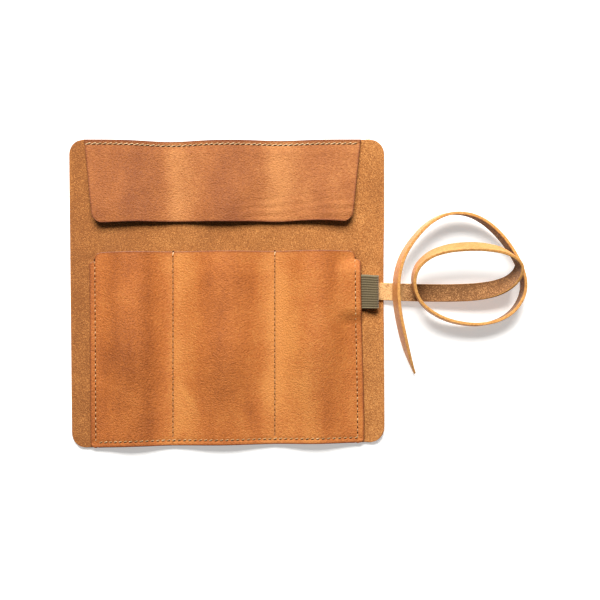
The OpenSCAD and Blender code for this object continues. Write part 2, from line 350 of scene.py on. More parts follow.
def darker_rim(tree, colour, rim_colour, amount):
    """Darkens the leather along its cut edges."""
    rim = node(tree, "ShaderNodeAttribute", attribute_name="rim").outputs["Fac"]
    share = maths(tree, "MULTIPLY", rim, amount, clamp=True)
    mix = node(tree, "ShaderNodeMix", data_type="RGBA")
    tree.links.new(share, mix.inputs["Factor"])
    tree.links.new(colour, mix.inputs["A"])
    mix.inputs["B"].default_value = (*rim_colour, 1)
    return mix.outputs["Result"]


def grain_leather(name, deep, middle, light, roughness=0.5, stretch=(0.9, 0.9, 1)):
    """Finished side: oiled leather that pales where it is bent."""
    finish, tree, shader = new_finish(name, roughness, 0.22)
    place = hide_place(tree)
    cloud = grain_noise(tree, place, 45, 3, 0.5)
    mottle = grain_noise(tree, place, 700, 4, 0.62)
    pores = node(tree, "ShaderNodeTexVoronoi", Scale=1100.0, feature="F1")
    tree.links.new(place, pores.inputs["Vector"])
    # This attribute holds paling where the leather is bent and, on the strap, painted light.
    pull_up_and_painted_light = node(tree, "ShaderNodeAttribute", attribute_name="pull_up_and_painted_light").outputs["Fac"]
    tone = maths(tree, "MULTIPLY_ADD", cloud, 0.9, maths(tree, "SUBTRACT", pull_up_and_painted_light, 0.2))
    tone = maths(tree, "MULTIPLY_ADD", mottle, 1.1, maths(tree, "SUBTRACT", tone, 0.55))
    colour = ramp(tree, tone, (0.0, deep), (0.5, middle), (1.0, light))
    pits = maths(tree, "MULTIPLY_ADD", pores.outputs["Distance"], 0.45, 0.78, clamp=True)
    shade = node(tree, "ShaderNodeMix", data_type="RGBA", blend_type="MULTIPLY")
    shade.inputs["Factor"].default_value = 1.0
    tree.links.new(colour, shade.inputs["A"])
    tree.links.new(pits, shade.inputs["B"])
    rimmed = darker_rim(tree, shade.outputs["Result"], (0.13, 0.028, 0.010), 0.9)
    tree.links.new(rimmed, shader.inputs["Base Color"])
    wear = maths(tree, "MULTIPLY_ADD", mottle, 0.22, roughness - 0.11)
    tree.links.new(wear, shader.inputs["Roughness"])
    creases = grain_noise(tree, place, 1150, 4, 0.7, stretch)
    bump(tree, shader, [(creases, 0.75, 0.9), (pores.outputs["Distance"], 0.2, 0.7)])
    return finish


def flesh_leather(name, dark, middle, light, strength=1.0):
    """Rough side: short fibres, speckled."""
    finish, tree, shader = new_finish(name, 0.86, 0.25)
    shader.inputs["Sheen Weight"].default_value = 0.12
    shader.inputs["Sheen Roughness"].default_value = 0.5
    place = hide_place(tree)
    cloud = grain_noise(tree, place, 60, 3, 0.5)
    nap = grain_noise(tree, place, 1300, 3, 0.65)
    fleck = grain_noise(tree, place, 2600, 2, 0.6)
    # This attribute holds paling where the leather is bent and, on the strap, painted light.
    pull_up_and_painted_light = node(tree, "ShaderNodeAttribute", attribute_name="pull_up_and_painted_light").outputs["Fac"]
    tone = maths(tree, "MULTIPLY_ADD", nap, 2.4, maths(tree, "SUBTRACT", pull_up_and_painted_light, 1.2))
    tone = maths(tree, "MULTIPLY_ADD", fleck, 1.6, maths(tree, "SUBTRACT", tone, 0.8))
    tone = maths(tree, "MULTIPLY_ADD", cloud, 0.6, maths(tree, "SUBTRACT", tone, 0.3))
    colour = ramp(tree, tone, (0.0, dark), (0.5, middle), (1.0, light))
    tree.links.new(darker_rim(tree, colour, middle, 0.6), shader.inputs["Base Color"])
    bump(tree, shader, [(nap, 0.5 * strength, 0.9), (fleck, 0.22 * strength, 0.8)])
    return finish


def cut_leather(name, dark, light, roughness=0.6):
    """Cut edge finish: burnished on most edges, a painted highlight on the pocket mouth."""
    finish, tree, shader = new_finish(name, roughness, 0.3)
    fibres = grain_noise(tree, hide_place(tree), 900, 3, 0.6)
    tree.links.new(ramp(tree, fibres, (0.3, dark), (0.7, light)), shader.inputs["Base Color"])
    bump(tree, shader, [(fibres, 0.08, 0.5)])
    return finish


POCKET_GRAIN = grain_leather(
    "pocket grain leather", (0.258, 0.068, 0.012), (0.412, 0.123, 0.024), (0.530, 0.202, 0.047))
FLAP_GRAIN = grain_leather(
    "flap grain leather", (0.215, 0.060, 0.013), (0.318, 0.102, 0.024), (0.460, 0.180, 0.052),
    stretch=(0.6, 1, 1))
OUTSIDE_GRAIN = grain_leather(
    "outside grain leather", (0.209, 0.055, 0.011), (0.313, 0.087, 0.018), (0.426, 0.148, 0.037))
STRAP_GRAIN = grain_leather(
    "strap grain leather", (0.580, 0.200, 0.050), (0.740, 0.320, 0.105), (0.880, 0.490, 0.220), 0.42)
COVER_FLESH = flesh_leather(
    "cover rough side", (0.226, 0.073, 0.014), (0.418, 0.158, 0.036), (0.592, 0.270, 0.080))
PANEL_FLESH = flesh_leather(
    "panel rough side", (0.191, 0.070, 0.019), (0.331, 0.135, 0.039), (0.470, 0.222, 0.078))
STRAP_FLESH = flesh_leather(
    "strap rough side", (0.165, 0.066, 0.020), (0.430, 0.200, 0.070), (0.700, 0.400, 0.165), 0.9)
BURNISHED = cut_leather("burnished edge", (0.087, 0.022, 0.009), (0.174, 0.048, 0.017))
COVER_EDGE = cut_leather("cover edge", (0.174, 0.052, 0.016), (0.365, 0.122, 0.033))
STRAP_EDGE = cut_leather("strap edge", (0.38, 0.155, 0.036), (0.66, 0.34, 0.095))
# Painted highlight: the lighter finish on the pocket mouth's edge faces that face the light.
MOUTH_EDGE_HIGHLIGHT = cut_leather("mouth edge painted highlight", (0.27, 0.15, 0.10), (0.42, 0.29, 0.22), 0.8)


def panel_tone(x, y):
    """Where bending and handling have paled the leather; it also lightens towards the right."""
    folds = 0.42 * bell(x, -27, 10) + 0.40 * bell(x, 30, 9)
    lower = 0.28 * bell(x + 0.16 * (y + 30), 41, 8) * smooth((10 - y) / 30)
    dark = 0.16 * bell(x, -50, 9) + 0.10 * bell(x, 4, 12) + 0.10 * bell(x, 62, 7)
    side = 0.10 * (x / 90)
    streaks = 0.16 * ripple(x, y * 0.25, 7, 5)
    scuff = 0.45 * bell(x + 0.5 * (y + 62), -24, 2.0) * bell(y, -62, 5)
    scuff += 0.16 * bell(x, -17, 3) * bell(y, -72, 7)
    return 0.22 + folds + lower - dark + side + streaks + scuff


def flap_tone(x, y):
    folds = 0.40 * bell(x, -28, 10) + 0.42 * bell(x, 31, 11) + 0.20 * smooth((x - 20) / 40)
    dark = 0.22 * bell(x, -54, 14) + 0.16 * bell(x, 2, 9)
    return 0.14 + folds - dark + 0.16 * ripple(x, y * 0.5, 9, 8) - 0.30 * smooth((y - 89.8) / 1.6)


def cover_tone(x, y):
    from_left = 0.30 * smooth((x + 90) / 190)
    return 0.10 + from_left + 0.12 * ripple(x, y, 14, 2) + 0.12 * bell(x, -28, 10)


# ------------------------------------------------------------------ cover
SIDE_FADE = 24.0


def cover_spot(x, y):
    inward = corner_in(min(y - BOTTOM, TOP - y), CORNER)
    shift = inward * (1 - smooth((COVER_HALF - abs(x)) / SIDE_FADE))
    x = x - math.copysign(shift, x)
    return placed(x, y, cover_under(x, y))


cover_rows = marks(BOTTOM, EDGE_CELL, BOTTOM + EDGE_CELL, 0.6, BOTTOM + 4.5, 1.4, BOTTOM + CORNER,
                   1.6, TOP - CORNER, 1.4, TOP - 4.5, 0.6, TOP - EDGE_CELL, EDGE_CELL, TOP)
cover_left_columns = marks(-COVER_HALF, EDGE_CELL, EDGE_CELL - COVER_HALF, 0.6, -92.5,
                           1.5, FOLD_LEFT - 7, 0.9, FOLD_LEFT + 7, 1.5, MIDLINE - 0.2, 0.2, MIDLINE)
cover_right_columns = marks(MIDLINE, 0.2, MIDLINE + 0.2, 1.5, FOLD_RIGHT - 7, 0.9, FOLD_RIGHT + 7,
                            1.5, 92.5, 0.6, COVER_HALF - EDGE_CELL, EDGE_CELL, COVER_HALF)


def bend_left(piece):
    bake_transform(piece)


def bend_right(piece):
    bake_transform(piece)


def make_cover():
    for name, columns, bend, nodes in (
        ("cover_left_half", cover_left_columns, bend_left, ("cover_left",)),
        ("cover_right_half", cover_right_columns, bend_right, ("cover_middle", "cover_right")),
    ):
        piece = sheet(name, columns, cover_rows, cover_spot, COVER_T, (MIDLINE,))
        finish_faces(piece, COVER_FLESH, OUTSIDE_GRAIN, COVER_EDGE)
        keep_places(piece)
        paint(piece, "pull_up_and_painted_light", cover_tone)
        bend(piece)
        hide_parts(*nodes)


# ------------------------------------------------------------------ pocket panel
def pocket_spot(x, y):
    above_notch = y - MOUTH + NOTCH_DEPTH
    if above_notch > 0:
        inward = 1.4 + (NOTCH_IN - 1.4) * smooth(above_notch / 1.2) + corner_in(MOUTH - y, 4.2)
    else:
        inward = corner_in(-above_notch, 1.4) + corner_in(y - BOTTOM, 2.5)
    edge = POCKET_LEFT if x < 0 else POCKET_RIGHT
    x -= math.copysign(inward * (1 - smooth(abs(x - edge) / 16)), x)
    return placed(x, y, pocket_under(x, y) - groove(x, y))


pocket_rows = marks(BOTTOM, EDGE_CELL, BOTTOM + 2 * EDGE_CELL, 0.5, BOTTOM + 5, 1.5, -14, 1.2, 15,
                    0.9, MOUTH - 7.5, 0.4, MOUTH - 6, 0.3, MOUTH - 4.5, 0.7, MOUTH - 3,
                    0.6, MOUTH - EDGE_CELL, EDGE_CELL, MOUTH)
pocket_left_columns = marks(POCKET_LEFT, EDGE_CELL, POCKET_LEFT + EDGE_CELL, 0.5, SEAM_LEFT + 2,
                            1.3, FOLD_LEFT - 7, 0.9, FOLD_LEFT - 2, 0.5, FOLD_LEFT + 2,
                            0.9, FOLD_LEFT + 7, 1.4, MIDLINE - 0.2, 0.2, MIDLINE)
pocket_right_columns = marks(MIDLINE, 0.2, MIDLINE + 0.2, 1.4, FOLD_RIGHT - 7, 0.9, FOLD_RIGHT - 2,
                             0.5, FOLD_RIGHT + 2, 0.9, FOLD_RIGHT + 7, 1.3, SEAM_RIGHT - 2,
                             0.5, POCKET_RIGHT - EDGE_CELL, EDGE_CELL, POCKET_RIGHT)


def make_pockets():
    for name, columns, bend, nodes in (
        ("pocket_left_half", pocket_left_columns, bend_left, ("pocket_left",)),
        ("pocket_right_half", pocket_right_columns, bend_right, ("pocket_middle", "pocket_right")),
    ):
        piece = sheet(name, columns, pocket_rows, pocket_spot, PANEL_T, (MIDLINE,))
        finish_faces(piece, POCKET_GRAIN, PANEL_FLESH, BURNISHED, MOUTH_EDGE_HIGHLIGHT)
        keep_places(piece)
        paint(piece, "pull_up_and_painted_light", panel_tone)
        bend(piece)
        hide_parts(*nodes)


# ------------------------------------------------------------------ flap
FLAP_FREE = HINGE - FLAP_LENGTH
HEM = HINGE + 0.3
FLAP_CORNER = 6.0


def flap_edge(x, y):
    """Tapers the flap's sides and rounds its free corners."""
    taper = 0.11 * (TOP - y) + corner_in(y - FLAP_FREE, FLAP_CORNER)
    edge = FLAP_LEFT if x < 0 else FLAP_RIGHT
    return x - math.copysign(taper * (1 - smooth(abs(x - edge) / 18)), x)


def flap_groove(y):
    return 0.25 * bell(y, FLAP_SEAM, 0.9)


def hem_spot(x, y):
    x = flap_edge(x, y)
    return placed(x, y, hem_under(x, y) - flap_groove(y))


def flap_spot(x, y):
    x = flap_edge(x, y)
    free = smooth((HEM - y) / 30)
    wave_line = (y - 0.10 * x + 1.5 * ripple(x, y, 14, 9)) * 1.25
    wrinkle = 0.20 * math.sin(wave_line) * (1 + ripple(x, y, 11, 13))
    wrinkle *= smooth((x + 10) / 30) * bell(y, 51, 7)
    edge_wave = (0.5 * ripple(x, 4, 22, 6) - 0.9) * free
    z = flap_under(x, y) + wrinkle + 0.5 * free * ripple(x, y, 16, 7) - flap_groove(y)
    return placed(x, y + edge_wave, z)


flap_rows = marks(FLAP_FREE, 0.4, FLAP_FREE + 1.6, 0.9, FLAP_FREE + FLAP_CORNER, 1.2, HEM - 6,
                  0.5, HEM - 0.1, 0.1, HEM)
hem_rows = marks(HEM, 0.1, HEM + 0.1, 0.35, TOP - 0.2)
hem_left_columns = marks(FLAP_LEFT, 0.7, FLAP_LEFT + 2.1, 1.5, FOLD_LEFT - 7, 0.9, FOLD_LEFT + 7,
                         1.5, MIDLINE - 0.2, 0.2, MIDLINE)
hem_right_columns = marks(MIDLINE, 0.2, MIDLINE + 0.2, 1.5, FOLD_RIGHT - 7, 0.9, FOLD_RIGHT + 7, 1.5,
                          FLAP_RIGHT - 2.1, 0.7, FLAP_RIGHT)
flap_columns = {
    "left": marks(FLAP_LEFT, 0.5, FLAP_LEFT + 2, 1.2, FOLD_LEFT - 0.2, 0.2, FOLD_LEFT),
    "middle": marks(FOLD_LEFT, 0.2, FOLD_LEFT + 0.2, 1.2, FOLD_RIGHT - 0.2, 0.2, FOLD_RIGHT),
    "right": marks(FOLD_RIGHT, 0.2, FOLD_RIGHT + 0.2, 1.2, FLAP_RIGHT - 2, 0.5, FLAP_RIGHT),
}


def redden_top(piece):
    """The strip above the flap's stitches is darker and redder."""
    for vertex, rim in zip(piece.data.vertices, piece.data.attributes["rim"].data):
        x, y = vertex.co.x / MM, vertex.co.y / MM
        above = y + top_dip(x) - FLAP_SEAM
        rim.value = max(rim.value, 0.22 * smooth((above - 0.4) / 0.8))


def make_flap():
    for name, columns, bend, nodes in (
        ("flap_hem_left_half", hem_left_columns, bend_left, ("flap_hem_left",)),
        ("flap_hem_right_half", hem_right_columns, bend_right,
         ("flap_hem_middle", "flap_hem_right")),
    ):
        piece = sheet(name, columns, hem_rows, hem_spot, PANEL_T, (MIDLINE,), HEM)
        finish_faces(piece, FLAP_GRAIN, PANEL_FLESH, BURNISHED)
        keep_places(piece)
        paint(piece, "pull_up_and_painted_light", flap_tone)
        redden_top(piece)
        bend(piece)
        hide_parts(*nodes)
    for side, columns in flap_columns.items():
        piece = sheet("flap_" + side + "_third", columns, flap_rows, flap_spot, PANEL_T,
                      (FOLD_LEFT, FOLD_RIGHT), HEM)
        finish_faces(piece, FLAP_GRAIN, PANEL_FLESH, BURNISHED)
        keep_places(piece)
        paint(piece, "pull_up_and_painted_light", flap_tone)
        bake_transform(piece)
        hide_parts("flap_" + side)


# ------------------------------------------------------------------ stitching
def thread_finish():
    finish, tree, shader = new_finish("waxed thread", 0.6, 0.3)
    shader.inputs["Sheen Weight"].default_value = 0.2
    fluff = grain_noise(tree, hide_place(tree), 1800, 3, 0.6)
    patches = grain_noise(tree, hide_place(tree), 300, 2, 0.6)
    wax = node(tree, "ShaderNodeAttribute", attribute_name="darkened").outputs["Fac"]
    tone = maths(tree, "MULTIPLY_ADD", patches, 0.9, maths(tree, "MULTIPLY", fluff, 0.3))
    tone = maths(tree, "SUBTRACT", tone, wax)
    colour = ramp(tree, tone, (0.0, (0.18, 0.075, 0.022)), (0.35, (0.40, 0.24, 0.10)),
                  (0.75, (0.80, 0.62, 0.37)))
    tree.links.new(colour, shader.inputs["Base Color"])
    bump(tree, shader, [(fluff, 0.05, 0.6)])
    return finish


def hole_shade_finish():
    # Near black: painted shade standing in for the depth of the hole.
    finish, tree, shader = new_finish("needle hole", 0.9, 0.1)
    shade = grain_noise(tree, hide_place(tree), 700, 2, 0.5)
    tree.links.new(ramp(tree, shade, (0.3, (0.012, 0.005, 0.002)), (0.8, (0.05, 0.018, 0.007))),
                   shader.inputs["Base Color"])
    return finish


THREAD = thread_finish()
HOLE_SHADE = hole_shade_finish()
THREAD_R = 0.27
PLY_FLATNESS = 0.72
THREAD_SINKS = 0.12  # how deep a stitch lies in the leather


def thread_pattern(length, arch):
    """One stitch of two-ply thread along X, its ends diving into the leather."""
    deselect()
    rings, turn = 9, math.radians(42)
    bpy.ops.mesh.primitive_circle_add(vertices=8, radius=THREAD_R * MM, fill_type="NGON",
                                      location=(-length / 2 * MM, 0, 0),
                                      rotation=(0, math.radians(90), 0))
    stitch = bpy.context.object
    bpy.ops.object.transform_apply(location=True, rotation=True, scale=True)
    for vertex in stitch.data.vertices:
        vertex.co.y *= PLY_FLATNESS
    bpy.ops.object.mode_set(mode="EDIT")
    for k in range(rings):
        before = math.sin(math.pi * k / rings)
        after = math.sin(math.pi * (k + 1) / rings)
        bpy.ops.mesh.select_all(action="DESELECT")
        bpy.ops.object.mode_set(mode="OBJECT")
        x = max(v.co.x for v in stitch.data.vertices)
        for face in stitch.data.polygons:
            face.select = abs(face.center.x - x) < 1e-7 and abs(face.normal.x) > 0.5
        ring = [v.co for v in stitch.data.vertices if abs(v.co.x - x) < 1e-7]
        centre = sum(ring, Vector()) / len(ring)
        bpy.ops.object.mode_set(mode="EDIT")
        bpy.ops.mesh.select_mode(type="FACE")
        step = Vector((length / rings * MM, 0, (after - before) * arch * MM))
        bpy.ops.mesh.extrude_region_move(TRANSFORM_OT_translate={"value": step})
        bpy.ops.transform.rotate(value=turn, orient_axis="X", center_override=centre + step)
    bpy.ops.mesh.select_all(action="SELECT")
    bpy.ops.mesh.normals_make_consistent(inside=False)
    bpy.ops.object.mode_set(mode="OBJECT")
    bpy.ops.object.shade_smooth_by_angle(angle=math.radians(60))
    stitch.data.materials.append(THREAD)
    stitch.data.transform(Matrix.Translation((0, 0, -THREAD_SINKS * MM)))
    return stitch


def hole_pattern(radius, length=0.0):
    """A needle hole: a shallow dish with a soft rim, dark with painted shade, drawn out along X by its
    length.
    """
    deselect()
    bpy.ops.mesh.primitive_circle_add(vertices=10, radius=radius * MM, fill_type="NGON",
                                      location=(0, 0, 0.03 * MM))
    hole = bpy.context.object
    bpy.ops.object.transform_apply(location=True, rotation=True, scale=True)
    bpy.ops.object.mode_set(mode="EDIT")
    bpy.ops.mesh.select_all(action="SELECT")
    bpy.ops.mesh.inset(thickness=radius * 0.35 * MM, depth=0)
    bpy.ops.transform.translate(value=(0, 0, 0.035 * MM))
    bpy.ops.mesh.select_all(action="DESELECT")
    bpy.ops.mesh.select_mode(type="EDGE")
    bpy.ops.mesh.select_non_manifold()
    bpy.ops.mesh.extrude_edges_move(TRANSFORM_OT_translate={"value": (0, 0, -0.25 * MM)})
    bpy.ops.mesh.edge_face_add()
    bpy.ops.mesh.select_all(action="SELECT")
    bpy.ops.mesh.normals_make_consistent(inside=False)
    bpy.ops.object.mode_set(mode="OBJECT")
    for vertex in hole.data.vertices:
        vertex.co.x += math.copysign(length / 2 * MM, vertex.co.x)
    hole.data.materials.append(HOLE_SHADE)
    return hole


def on_surface(x, y, heading, height, upwards=1):
    """Turns a pattern made along X to lie on the surface height(x, y), heading that way."""
    ahead = Vector((math.cos(heading), math.sin(heading))) * 0.6
    side = Vector((-ahead.y, ahead.x))

    def spot(away):
        u, v = x + away.x, y + away.y
        return placed(u, v, height(u, v))

    origin = spot(Vector((0, 0)))
    along = (spot(ahead) - spot(-ahead)).normalized()
    up = along.cross(spot(side) - spot(-side)).normalized() * upwards
    across = up.cross(along)
    turn = Matrix((along, across, up)).transposed().to_4x4()
    return Matrix.Translation(origin) @ turn


def copies(pattern, places):
    made = []
    for place in places:
        copy = pattern.copy()
        copy.data = pattern.data.copy()
        copy.data.transform(place)
        bpy.context.collection.objects.link(copy)
        made.append(copy)
    return made


def under_stitch(x, y):
    """The underside's stitches are pressed in, so that they stay clear of the table."""
    return cover_under(x, y) + 0.28


def seam(name, spots, line, slant, top, thread, hole, darkened, under_thread=False):
    """Stitches at the spots on the upper side and between them on the underside. A needle hole,
    dark with painted shade, follows each stitch or, under_thread, a slit of painted shadow lies
    along it, just below. darkened(x, y) says how waxed and worn the thread is."""
    half = PITCH / 2
    step = Vector((math.cos(line), math.sin(line)))
    aside = Vector((-math.sin(line), math.cos(line))) * 0.42
    threads, holes = [], []
    for x, y in spots:
        between = (x + step.x * half, y + step.y * half)
        if under_thread:
            threads.append(on_surface(x + aside.x, y + aside.y, line + slant, top))
            # The slit, a stroke of painted shadow, lies just below the stitch.
            holes.append(on_surface(x - aside.x * 0.5, y - aside.y * 0.5, line + slant, top))
        else:
            threads.append(on_surface(x, y, line + slant, top))
            holes.append(on_surface(*between, line, top))
        threads.append(on_surface(*between, line - slant, under_stitch, -1))
        holes.append(on_surface(x, y, line, cover_under, -1))
    parts = copies(thread, threads) + copies(hole, holes)
    deselect()
    for part in parts:
        part.select_set(True)
    bpy.context.view_layer.objects.active = parts[0]
    bpy.ops.object.join()
    piece = bpy.context.object
    piece.name = piece.data.name = name
    keep_places(piece)
    paint(piece, "darkened", darkened)
    return piece


def row_of(start, end, pitch=PITCH):
    count = int((end - start) / pitch)
    return [start + (k + 0.5) * pitch for k in range(count)]


def pocket_stitch_top(x, y):
    return pocket_top(x, y) - groove(x, y)


def hem_stitch_top(x, y):
    return hem_under(x, y) + PANEL_T - 0.25


def make_seams():
    bead = thread_pattern(1.35, 0.34)
    short_thread = thread_pattern(2.1, 0.32)
    long_thread = thread_pattern(3.7, 0.44)
    round_hole, small_hole = hole_pattern(0.70), hole_pattern(0.50)
    # The round and small holes are dark with painted shade; the slits are strokes of painted shadow laid
    # just below the slanted stitches.
    shadow_slit, long_shadow_slit = hole_pattern(0.27, 1.1), hole_pattern(0.36, 2.2)
    upright, level = math.radians(90), 0.0
    lean = math.radians(-12)

    def pale(x, y):
        return 0.12

    def clean(x, y):
        return 0.22

    def waxed(x, y):
        return 0.25

    def clean_at_mouth(x, y):
        return 0.55 - 0.6 * smooth((y - 20) / 3)

    side_row = row_of(BOTTOM_SEAM, MOUTH - 4)
    left = seam("side_seam_left_thread", [(SEAM_LEFT, y) for y in side_row],
                upright, lean, pocket_stitch_top, bead, round_hole, clean)
    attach(left, "left_section")
    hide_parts("side_seam_left")
    right = seam("side_seam_right_thread", [(right_seam(y), y) for y in side_row],
                 upright, lean, pocket_stitch_top, bead, round_hole, clean)
    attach(right, "right_section")
    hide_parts("side_seam_right")

    for side, fold, bend in (("left", FOLD_LEFT, bend_left), ("right", FOLD_RIGHT, bend_right)):
        piece = seam("divider_seam_" + side + "_thread",
                     [(fold + 0.2, y) for y in row_of(BOTTOM_SEAM + 1.6, MOUTH + 1)],
                     upright, lean, pocket_stitch_top, short_thread, small_hole, clean_at_mouth)
        bend(piece)
        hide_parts("divider_seam_" + side)

    bottom = row_of(SEAM_LEFT + 1.6, SEAM_RIGHT + 0.4)
    top = row_of(FLAP_LEFT + 1.0, FLAP_RIGHT - 0.6)
    for half, on_left, bend in (("left", True, bend_left), ("right", False, bend_right)):
        piece = seam("bottom_seam_" + half + "_half_thread",
                     [(x, BOTTOM_SEAM) for x in bottom if (x <= MIDLINE) == on_left],
                     level, math.radians(14), pocket_stitch_top, short_thread, shadow_slit, waxed, True)
        bend(piece)
        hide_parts(*(("bottom_seam_left",) if half == "left"
                             else ("bottom_seam_middle", "bottom_seam_right")))
        piece = seam("flap_seam_" + half + "_half_thread",
                     [(x, FLAP_SEAM) for x in top if (x <= MIDLINE) == on_left],
                     level, math.radians(18), hem_stitch_top, long_thread, long_shadow_slit, pale, True)
        bend(piece)
        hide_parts(*(("flap_seam_left",) if half == "left"
                             else ("flap_seam_middle", "flap_seam_right")))
    for pattern in (bead, short_thread, long_thread, round_hole, small_hole, shadow_slit, long_shadow_slit):
        bpy.data.objects.remove(pattern)


# ------------------------------------------------------------------ elastic loop
RIB_PITCH, PICK_PITCH = 1.45, 0.62
WEBBING_T = 0.66
LOOP_ROOT, LOOP_REACH, LOOP_NOSE = 81.9, 9.5, 1.5
LOOP_HEIGHT = 3.85
TAB_END, TAB_STEP = 75.6, 0.72
LAYERS_APART = 0.37  # from the middle of the two sewn layers to each one's own


def webbing_finish():
    finish, tree, shader = new_finish("olive elastic webbing", 0.8, 0.25)
    shader.inputs["Sheen Weight"].default_value = 0.25
    shader.inputs["Sheen Roughness"].default_value = 0.4
    place = hide_place(tree, "web_place")
    split = node(tree, "ShaderNodeSeparateXYZ")
    tree.links.new(place, split.inputs["Vector"])
    along, across = split.outputs["X"], split.outputs["Y"]
    ribs = maths(tree, "SINE", maths(tree, "MULTIPLY", across, 2 * math.pi / (RIB_PITCH * MM)))
    picks = maths(tree, "SINE", maths(tree, "MULTIPLY", along, 2 * math.pi / (PICK_PITCH * MM)))
    fuzz = grain_noise(tree, place, 1500, 4, 0.65)
    # Selvedge tone with painted light: the upper selvedge, facing the light, is lighter than the lower.
    edge = node(tree, "ShaderNodeAttribute", attribute_name="selvedge_and_painted_light").outputs["Fac"]
    tone = maths(tree, "MULTIPLY_ADD", ribs, 0.20, maths(tree, "MULTIPLY_ADD", picks, 0.10, 0.35))
    tone = maths(tree, "MULTIPLY_ADD", fuzz, 0.5, maths(tree, "SUBTRACT", tone, 0.22))
    tone = maths(tree, "MULTIPLY_ADD", edge, 0.55, tone)
    colour = ramp(tree, tone, (0.0, (0.018, 0.012, 0.005)), (0.45, (0.112, 0.082, 0.039)),
                  (1.0, (0.34, 0.29, 0.18)))
    tree.links.new(colour, shader.inputs["Base Color"])
    bump(tree, shader, [(picks, 0.10, 0.7), (fuzz, 0.08, 0.7)])
    return finish


def webbing_line():
    """The webbing's middle from its lower sewn end, round the nose, to its upper: (x, z) pairs."""
    straight = LOOP_REACH - LOOP_NOSE - 0.35
    rise = 1.4

    def tab(side):
        return [(TAB_END + k * TAB_STEP, LOOP_HEIGHT + side * LAYERS_APART) for k in range(8)]

    def leg(side):
        spots = []
        for u in [k / 9 for k in range(10)]:
            apart = LAYERS_APART + (LOOP_NOSE - LAYERS_APART) * math.sin(u * math.pi / 2)
            spots.append((LOOP_ROOT + straight * u, LOOP_HEIGHT + rise * u + side * apart))
        return spots

    nose = []
    for k in range(1, 12):
        a = -math.pi / 2 + math.pi * k / 12
        nose.append((LOOP_ROOT + straight + LOOP_NOSE * math.cos(a),
                     LOOP_HEIGHT + rise + LOOP_NOSE * math.sin(a)))
    return tab(-1) + leg(-1) + nose + leg(1)[::-1] + tab(1)[::-1]


def make_loop():
    deselect()
    line = webbing_line()
    distance = [0.0]
    for a, b in zip(line, line[1:]):
        distance.append(distance[-1] + math.dist(a, b))
    ribs = 84
    bpy.ops.mesh.primitive_grid_add(x_subdivisions=len(line) - 1, y_subdivisions=ribs, size=2)
    loop = bpy.context.object
    loop.name = loop.data.name = "pen_loop_webbing"
    web, edge = [], []
    for vertex in loop.data.vertices:
        i = round((vertex.co.x + 1) / 2 * (len(line) - 1))
        v = (vertex.co.y + 1) / 2
        x, z = line[i]
        free = smooth((x - 83) / 7)
        y = LOOP_MIDDLE + (v - 0.5) * (LOOP_WIDTH - 0.5 * free)
        vertex.co = Vector((x, y - 0.3 * free, z + 0.25 * free * math.sin(v * 5))) * MM
        web += [distance[i] * MM, (v - 0.5) * LOOP_WIDTH * MM, 0]
        # Both selvedges are lighter; the lower is kept darker than the upper, painted light and shade as
        # lit from above.
        edge.append(smooth((abs(v - 0.5) - 0.455) / 0.03) * (1.0 if v > 0.5 else 0.15))
    loop.data.attributes.new("web_place", "FLOAT_VECTOR", "POINT").data.foreach_set("vector", web)
    loop.data.attributes.new("selvedge_and_painted_light", "FLOAT", "POINT").data.foreach_set("value", edge)
    solid = loop.modifiers.new("thickness", "SOLIDIFY")
    solid.thickness, solid.offset = WEBBING_T * MM, 0
    apply_all(loop)
    places = loop.data.attributes["web_place"].data
    selvedge_and_painted_light = loop.data.attributes["selvedge_and_painted_light"].data
    normals = [n.vector.copy() for n in loop.data.vertex_normals]
    for k, vertex in enumerate(loop.data.vertices):
        across = places[k].vector.y / MM
        firm = selvedge_and_painted_light[k].value
        rib = 0.10 * (math.sin(2 * math.pi * across / RIB_PITCH) * (1 - firm) + firm)
        vertex.co += normals[k] * rib * MM
    bpy.ops.object.mode_set(mode="EDIT")
    bpy.ops.mesh.select_all(action="SELECT")
    bpy.ops.mesh.normals_make_consistent(inside=False)
    bpy.ops.object.mode_set(mode="OBJECT")
    bpy.ops.object.shade_smooth_by_angle(angle=math.radians(50))
    loop.data.materials.append(webbing_finish())
    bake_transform(loop)
    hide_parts("pen_loop", "loop_tab")


# ------------------------------------------------------------------ wrap strap
STRAP_WIDTH, STRAP_T = 10.5, 1.8
